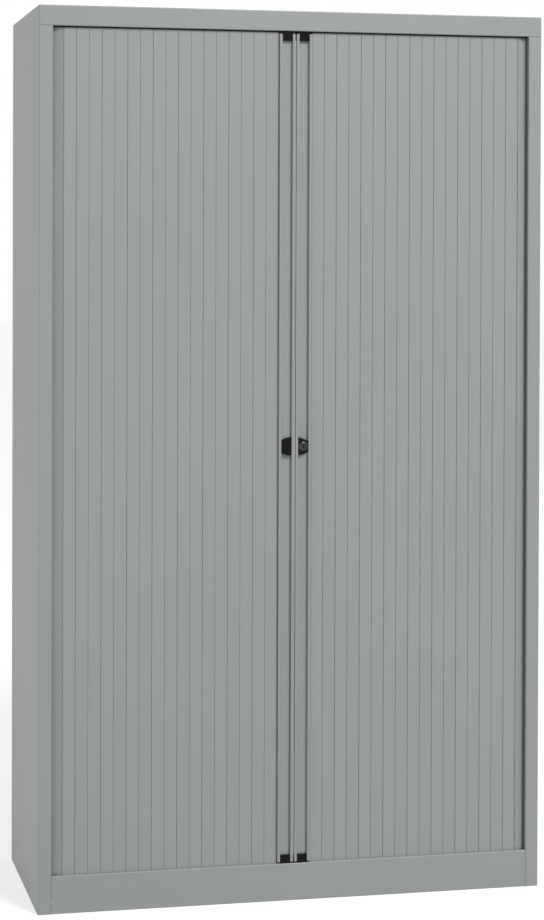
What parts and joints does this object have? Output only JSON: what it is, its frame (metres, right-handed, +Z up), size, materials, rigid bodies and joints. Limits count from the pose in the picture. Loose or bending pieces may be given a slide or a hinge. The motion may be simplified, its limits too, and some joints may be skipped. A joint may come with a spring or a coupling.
{
  "type": "tambour cupboard",
  "caption": "Tall steel office cupboard with two side-opening tambour curtains that slide apart from lead bars at the centre, a lock between them and shelves inside.",
  "frame": {"origin": "on the floor, below the centre of the cupboard", "axes": "+Z up, -Y out of the front, +X to the right when facing the front"},
  "size_m": [1.15, 0.45, 1.98],
  "materials": {
    "cabinet_paint": "fine-textured silver-grey powder coat",
    "lining_paint": "fine-textured silver-grey powder coat",
    "bar_paint": "fine-textured silver-grey powder coat",
    "slats": "matt extruded plastic in the carcass colour",
    "track_plastic": "smooth grey running channel",
    "black_plastic": "fine-grained black moulding",
    "foot_plastic": "black moulding",
    "nickel": "nickel-plated lock face",
    "zinc": "bright zinc plate"
  },
  "bodies": {
    "cabinet": {"back_panel": "cabinet_paint", "base_panel": "cabinet_paint", "ceiling_panel": "cabinet_paint", "foot_nuts": "zinc", "front_plinth": "cabinet_paint", "inner_back_panel": "lining_paint", "left_corner_slats": "slats", "left_front_foot_bracket": "zinc", "left_front_upright": "lining_paint", "left_inner_liner": "lining_paint", "left_lower_track": "track_plastic", "left_rear_foot_bracket": "zinc", "left_rear_upright": "lining_paint", "left_side_panel": "cabinet_paint", "left_upper_track": "track_plastic", "rear_plinth": "cabinet_paint", "right_corner_slats": "slats", "right_front_foot_bracket": "zinc", "right_front_upright": "lining_paint", "right_inner_liner": "lining_paint", "right_lower_track": "track_plastic", "right_rear_foot_bracket": "zinc", "right_rear_upright": "lining_paint", "right_side_panel": "cabinet_paint", "right_upper_track": "track_plastic", "shelf_1": "lining_paint", "shelf_2": "lining_paint", "shelf_3": "lining_paint", "shelf_4": "lining_paint", "shelf_clips": "zinc", "top_panel": "cabinet_paint"},
    "left_door": {"left_lead_bar": "bar_paint", "left_lower_cap": "black_plastic", "left_upper_cap": "black_plastic", "left_curtain": "slats", "left_pull": "black_plastic", "lock_keep": "zinc", "keep_screws": "zinc"},
    "right_door": {"right_lead_bar": "bar_paint", "right_lower_cap": "black_plastic", "right_upper_cap": "black_plastic", "right_curtain": "slats", "lock_housing": "black_plastic", "lock_barrel": "nickel", "lock_nut": "zinc"},
    "lock": {"lock_plug": "nickel", "lock_hook": "zinc", "hook_screw": "zinc"},
    "left_front_foot": {"left_front_foot_pad": "foot_plastic", "left_front_foot_stud": "zinc"},
    "left_rear_foot": {"left_rear_foot_pad": "foot_plastic", "left_rear_foot_stud": "zinc"},
    "right_front_foot": {"right_front_foot_pad": "foot_plastic", "right_front_foot_stud": "zinc"},
    "right_rear_foot": {"right_rear_foot_pad": "foot_plastic", "right_rear_foot_stud": "zinc"}
  },
  "joints": [
    {"name": "left_door_slide", "type": "slide", "parent": "cabinet", "child": "left_door", "axis": [-1, 0, 0], "range_m": [0, 0.4828], "deforming": ["left_curtain"]},
    {"name": "right_door_slide", "type": "slide", "parent": "cabinet", "child": "right_door", "axis": [1, 0, 0], "range_m": [0, 0.4828], "deforming": ["right_curtain"]},
    {"name": "lock_turn", "type": "hinge", "parent": "right_door", "child": "lock", "pos_m": [0.01925, -0.2, 1.0125], "axis": [0, -1, 0], "range_deg": [0, 90]},
    {"name": "left_front_foot_screw", "type": "slide", "parent": "cabinet", "child": "left_front_foot", "axis": [0, 0, -1], "range_m": [0, 0.015]},
    {"name": "left_rear_foot_screw", "type": "slide", "parent": "cabinet", "child": "left_rear_foot", "axis": [0, 0, -1], "range_m": [0, 0.015]},
    {"name": "right_front_foot_screw", "type": "slide", "parent": "cabinet", "child": "right_front_foot", "axis": [0, 0, -1], "range_m": [0, 0.015]},
    {"name": "right_rear_foot_screw", "type": "slide", "parent": "cabinet", "child": "right_rear_foot", "axis": [0, 0, -1], "range_m": [0, 0.015]}
  ]
}
